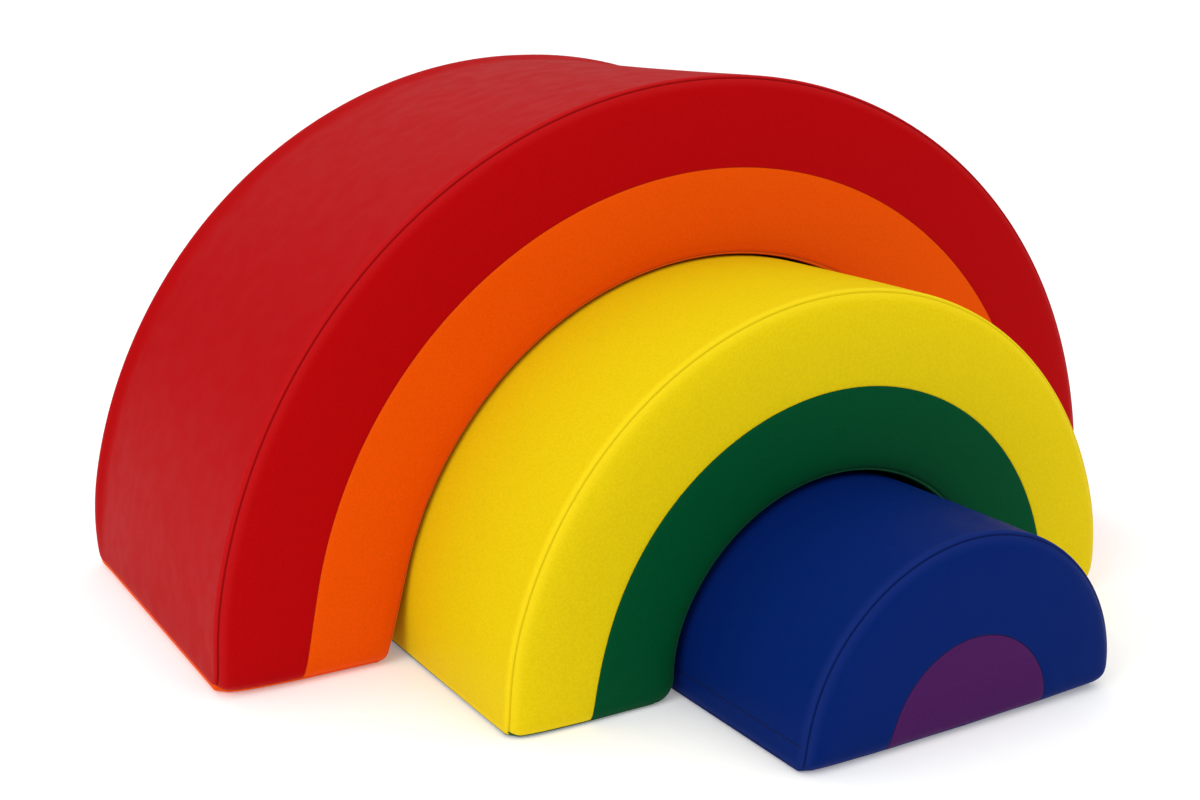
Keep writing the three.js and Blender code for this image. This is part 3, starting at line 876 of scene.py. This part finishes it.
class Nodes:
    """A material's nodes, in object coordinates (metres)."""

    def __init__(self, name):
        self.material = bpy.data.materials.new(name)
        self.material.use_nodes = True
        self.tree = self.material.node_tree
        self.tree.nodes.clear()
        self.bsdf = self.add("ShaderNodeBsdfPrincipled")
        self.link(self.bsdf.outputs[0], self.add("ShaderNodeOutputMaterial").inputs[0])
        self.coords = self.add("ShaderNodeTexCoord").outputs["Object"]

    def add(self, kind, **settings):
        return add_node(self.tree, kind, **settings)

    def link(self, source, target):
        self.tree.links.new(source, target)

    def noise(self, scale, detail=2.0, rough=0.5, vector=None):
        node = self.add("ShaderNodeTexNoise")
        node.inputs["Scale"].default_value = scale
        node.inputs["Detail"].default_value = detail
        node.inputs["Roughness"].default_value = rough
        self.link(vector or self.coords, node.inputs["Vector"])
        return node.outputs["Fac"]

    def cells(self, scale):
        node = self.add("ShaderNodeTexVoronoi", feature="SMOOTH_F1")
        node.inputs["Scale"].default_value = scale
        node.inputs["Smoothness"].default_value = 0.6
        self.link(self.coords, node.inputs["Vector"])
        return node.outputs["Distance"]

    def stretch(self, scale):
        node = self.add("ShaderNodeMapping")
        node.inputs["Scale"].default_value = scale
        self.link(self.coords, node.inputs["Vector"])
        return node.outputs[0]

    def ranged(self, value, source, target=(0.0, 1.0)):
        """Moves a value from one range to another, smoothly and without going past its ends."""
        node = self.add("ShaderNodeMapRange", interpolation_type="SMOOTHSTEP")
        for key, number in zip(("From Min", "From Max", "To Min", "To Max"), (*source, *target)):
            node.inputs[key].default_value = number
        self.link(value, node.inputs["Value"])
        return node.outputs[0]

    def blend(self, factor, first, second):
        node = self.add("ShaderNodeMix", data_type="RGBA")
        for socket, value in ((node.inputs[6], first), (node.inputs[7], second)):
            if isinstance(value, tuple):
                socket.default_value = (*value, 1.0)
            else:
                self.link(value, socket)
        self.link(factor, node.inputs[0])
        return node.outputs[2]

    def attribute(self, name):
        return self.add("ShaderNodeAttribute", attribute_name=name).outputs["Fac"]

    def bump(self, height, strength, distance, before=None):
        node = self.add("ShaderNodeBump")
        node.inputs["Strength"].default_value = strength
        node.inputs["Distance"].default_value = distance
        self.link(height, node.inputs["Height"])
        if before is not None:
            self.link(before, node.inputs["Normal"])
        return node.outputs[0]

    def finish(self, colour, rough, normal=None, metal=0.0, specular=0.5):
        self.link(colour, self.bsdf.inputs["Base Color"])
        self.link(rough, self.bsdf.inputs["Roughness"])
        if normal is not None:
            self.link(normal, self.bsdf.inputs["Normal"])
        self.bsdf.inputs["Metallic"].default_value = metal
        self.bsdf.inputs["Specular IOR Level"].default_value = specular
        return self.material


def scaled(colour, factor, lift=0.0):
    return tuple(min(1.0, c * factor + lift) for c in colour)


def vinyl(name, colour, seam_shade=0.32):
    """Coated vinyl: fine pebble grain, slow colour drift, painted shade in the seams, a painted highlight
    beside them and painted light on a lining's rim. The last argument is the share of the colour that is
    left in a seam's painted shade."""
    n = Nodes(name)
    drift = n.noise(scale=3.2, detail=3.0)
    cloud = n.noise(scale=38.0)
    grain = n.cells(scale=430.0)
    speck = n.noise(scale=1500.0, detail=1.0)
    seam = n.attribute("seam")
    painted_rim_light = n.attribute("painted_rim_light")
    base = n.blend(n.ranged(drift, (0.3, 0.7)), scaled(colour, 0.985), scaled(colour, 1.01))
    base = n.blend(n.ranged(cloud, (0.35, 0.65), (0.0, 0.5)), base, colour)
    base = n.blend(n.ranged(grain, (0.05, 0.75), (0.0, 0.28)), base, scaled(colour, 0.72))
    # Painted highlight: the colour lightens beside each seam, along the crest of the rolled edge
    base = n.blend(n.ranged(seam, (1.0, 11.0), (0.55, 0.0)), base, scaled(colour, 1.08, 0.008))
    # Painted light: a lining brightens strongly at its rim, standing in for light from below
    base = n.blend(n.ranged(painted_rim_light, (0.6, 5.0), (0.9, 0.0)), base, scaled(colour, 1.7, 0.02))
    # Painted shade: the colour darkens in the seams' creases, down to the given share of it
    base = n.blend(n.ranged(seam, (0.1, 0.7), (0.6, 0.0)), base, scaled(colour, seam_shade))
    rough = n.ranged(cloud, (0.3, 0.7), (0.44, 0.52))
    normal = n.bump(grain, strength=0.32, distance=0.00025)
    normal = n.bump(speck, strength=0.08, distance=0.0001, before=normal)
    normal = n.bump(cloud, strength=0.012, distance=0.0004, before=normal)
    return n.finish(base, rough, normal, specular=0.016)


def foam(name):
    """Open-celled cream foam."""
    n = Nodes(name)
    cells = n.cells(scale=480.0)
    base = n.blend(n.ranged(cells, (0.0, 0.7)), (0.55, 0.49, 0.34), (0.74, 0.68, 0.52))
    rough = n.ranged(cells, (0.0, 0.7), (0.98, 0.88))
    return n.finish(base, rough, n.bump(cells, strength=0.7, distance=0.001), specular=0.2)


def cloth(name, dark, light):
    """A plain weave with a little fuzz, for thread, zip tapes and coils."""
    n = Nodes(name)
    weave = n.add("ShaderNodeMath", operation="MULTIPLY")
    for direction, socket in zip("XY", weave.inputs):
        wave = n.add("ShaderNodeTexWave", wave_type="BANDS", bands_direction=direction)
        wave.inputs["Scale"].default_value = 260.0
        wave.inputs["Distortion"].default_value = 0.6
        n.link(n.coords, wave.inputs["Vector"])
        n.link(wave.outputs["Fac"], socket)
    fuzz = n.noise(scale=900.0, detail=3.0)
    base = n.blend(n.ranged(weave.outputs[0], (0.0, 1.0)), dark, light)
    rough = n.ranged(fuzz, (0.3, 0.7), (0.82, 0.95))
    normal = n.bump(weave.outputs[0], strength=0.5, distance=0.0003)
    normal = n.bump(fuzz, strength=0.3, distance=0.0001, before=normal)
    return n.finish(base, rough, normal, specular=0.25)


def metal(name):
    """Brushed grey metal with some wear."""
    n = Nodes(name)
    brushed = n.noise(scale=420.0, detail=3.0, rough=0.6, vector=n.stretch((1.0, 0.06, 1.0)))
    wear = n.noise(scale=150.0, detail=4.0)
    base = n.blend(n.ranged(wear, (0.35, 0.65)), (0.36, 0.37, 0.38), (0.52, 0.53, 0.54))
    rough = n.ranged(brushed, (0.3, 0.7), (0.26, 0.46))
    return n.finish(base, rough, n.bump(brushed, strength=0.25, distance=0.0001), metal=1.0)


VINYL = {
    "red": vinyl("red_vinyl", (0.440, 0.0016, 0.0030)),
    "orange": vinyl("orange_vinyl", (0.830, 0.086, 0.0008), seam_shade=0.45),
    "yellow": vinyl("yellow_vinyl", (0.800, 0.600, 0.0045), seam_shade=0.75),
    "green": vinyl("green_vinyl", (0.0006, 0.073, 0.0225)),
    "blue": vinyl("blue_vinyl", (0.0014, 0.0152, 0.1350)),
    "purple": vinyl("purple_vinyl", (0.068, 0.0115, 0.0960)),
}
FOAM = foam("cream_foam")
THREAD = cloth("navy_thread", (0.0004, 0.0015, 0.010), (0.001, 0.004, 0.026))
ZIP_CLOTH = cloth("zip_cloth_weave", (0.006, 0.006, 0.007), (0.022, 0.022, 0.024))
ZIP_METAL = metal("zip_metal_brushed")

for node_name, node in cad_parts.items():
    if "_zip_" in node_name:
        node.data.materials.clear()
        cloth_part = "_tape_" in node_name or "_coil_" in node_name
        node.data.materials.append(ZIP_CLOTH if cloth_part else ZIP_METAL)


# The three blocks

for block in (LARGE, MEDIUM):
    band(block)
    lining(block)
    arch_face(block, False)
    arch_face(block, True)
    base_sheet(f"{block.name}_foot_cover_left", block, -1, f"{block.name}_base_left", True)
    base_sheet(f"{block.name}_foot_cover_right", block, 1, f"{block.name}_base_right", False)
    foam_core(block)

band(SMALL)
dome_face(SMALL, False)
dome_face(SMALL, True)
base_sheet("small_foot_cover", SMALL, -1, "small_base", True)
foam_core(SMALL)
stitches("small_side_stitches", SMALL, STITCH_LEVEL)


# Floor, light and camera, in metres

FLOOR_HALF = 150.0
FLOOR_LEVEL = -0.0006
FLOOR_GLOW = 0.2
LIGHT_TARGET = (0, -0.1, 0.25)
LIGHT_SIZE = 2.4
SKY = ((0.0, 0.16), (0.25, 0.20), (0.55, 0.70), (0.85, 1.0))
SKY_STRENGTH = 1.25
BACK_WALL = 0.18
BACKDROP = 0.86
CAMERA_AZIMUTH = math.radians(-31.173)
CAMERA_ELEVATION = math.radians(14.54)
CAMERA_TURN = math.radians(0.141)
CAMERA_TARGET = Vector((-0.158994, -0.0285, 0.254241))
CAMERA_DISTANCE = 1.739447
CAMERA_SENSOR = 36.0
CAMERA_LENS = 48.1625


def stage_floor():
    """A very large pale floor just under the feet, which glows a little so that it stays white."""
    mesh = bpy.data.meshes.new("studio_floor")
    corners = ((-1, -1), (1, -1), (1, 1), (-1, 1))
    mesh.from_pydata([(x * FLOOR_HALF, y * FLOOR_HALF, FLOOR_LEVEL) for x, y in corners], [], [(0, 1, 2, 3)])
    n = Nodes("pale_floor")
    tint = n.noise(scale=40.0)
    base = n.blend(n.ranged(tint, (0.3, 0.7)), (0.905, 0.905, 0.905), (0.915, 0.915, 0.915))
    n.bsdf.inputs["Emission Color"].default_value = (1, 1, 1, 1)
    n.bsdf.inputs["Emission Strength"].default_value = FLOOR_GLOW
    mesh.materials.append(n.finish(base, n.ranged(tint, (0.3, 0.7), (0.78, 0.84)), specular=0.1))
    obj = bpy.data.objects.new("studio_floor", mesh)
    bpy.context.scene.collection.objects.link(obj)


def softbox(name, at, power):
    light = bpy.data.lights.new(name, "AREA")
    light.shape = "DISK"
    light.size = LIGHT_SIZE
    light.energy = power
    obj = bpy.data.objects.new(name, light)
    obj.location = at
    obj.rotation_euler = (Vector(LIGHT_TARGET) - Vector(at)).to_track_quat("-Z", "Y").to_euler()
    bpy.context.scene.collection.objects.link(obj)


def surroundings():
    """Dim near the horizon and bright overhead and behind, like a studio with a light ceiling and back wall;
    the camera itself sees an even pale backdrop."""
    world = bpy.data.worlds.new("studio")
    bpy.context.scene.world = world
    world.use_nodes = True
    tree = world.node_tree
    background = tree.nodes["Background"]
    coords = add_node(tree, "ShaderNodeTexCoord")
    split = add_node(tree, "ShaderNodeSeparateXYZ")
    behind = add_node(tree, "ShaderNodeMath", operation="MAXIMUM")
    level = add_node(tree, "ShaderNodeMath", operation="MULTIPLY_ADD")
    ramp = add_node(tree, "ShaderNodeValToRGB")
    ray = add_node(tree, "ShaderNodeLightPath")
    seen = add_node(tree, "ShaderNodeMix", data_type="RGBA")
    behind.inputs[1].default_value = 0.0
    level.inputs[1].default_value = BACK_WALL
    seen.inputs[7].default_value = (BACKDROP, BACKDROP, BACKDROP, 1)
    background.inputs["Strength"].default_value = SKY_STRENGTH
    for source, target in (
        (coords.outputs["Generated"], split.inputs[0]),
        (split.outputs["Y"], behind.inputs[0]),
        (behind.outputs[0], level.inputs[0]),
        (split.outputs["Z"], level.inputs[2]),
        (level.outputs[0], ramp.inputs[0]),
        (ray.outputs["Is Camera Ray"], seen.inputs[0]),
        (ramp.outputs[0], seen.inputs[6]),
        (seen.outputs[2], background.inputs["Color"]),
    ):
        tree.links.new(source, target)
    elements = ramp.color_ramp.elements
    elements[0].position = SKY[0][0]
    elements[1].position = SKY[-1][0]
    for position, _ in SKY[1:-1]:
        elements.new(position)
    for element, (_, grey) in zip(elements, SKY):
        element.color = (grey, grey, grey, 1)


def camera():
    """The photograph's viewpoint."""
    flat = math.cos(CAMERA_ELEVATION)
    sideways = math.sin(CAMERA_AZIMUTH) * flat
    forward = math.cos(CAMERA_AZIMUTH) * flat
    back = Vector((sideways, -forward, math.sin(CAMERA_ELEVATION)))
    level = (-back).cross(Vector((0, 0, 1))).normalized()
    above = level.cross(-back)
    right = level * math.cos(CAMERA_TURN) + above * math.sin(CAMERA_TURN)
    up = above * math.cos(CAMERA_TURN) - level * math.sin(CAMERA_TURN)
    data = bpy.data.cameras.new("photo_camera")
    data.sensor_width = CAMERA_SENSOR
    data.lens = CAMERA_LENS
    data.clip_start = 0.01
    data.clip_end = 200.0
    obj = bpy.data.objects.new("photo_camera", data)
    turned = Matrix((right, up, back)).transposed().to_4x4()
    obj.matrix_world = Matrix.Translation(CAMERA_TARGET + back * CAMERA_DISTANCE) @ turned
    bpy.context.scene.collection.objects.link(obj)
    bpy.context.scene.camera = obj


stage_floor()
surroundings()
softbox("front_left_light", (-3.6, -1.5, 2.5), 52)
softbox("front_right_light", (1.2, -3.8, 1.8), 14)
camera()
bpy.context.scene.view_settings.view_transform = "Standard"
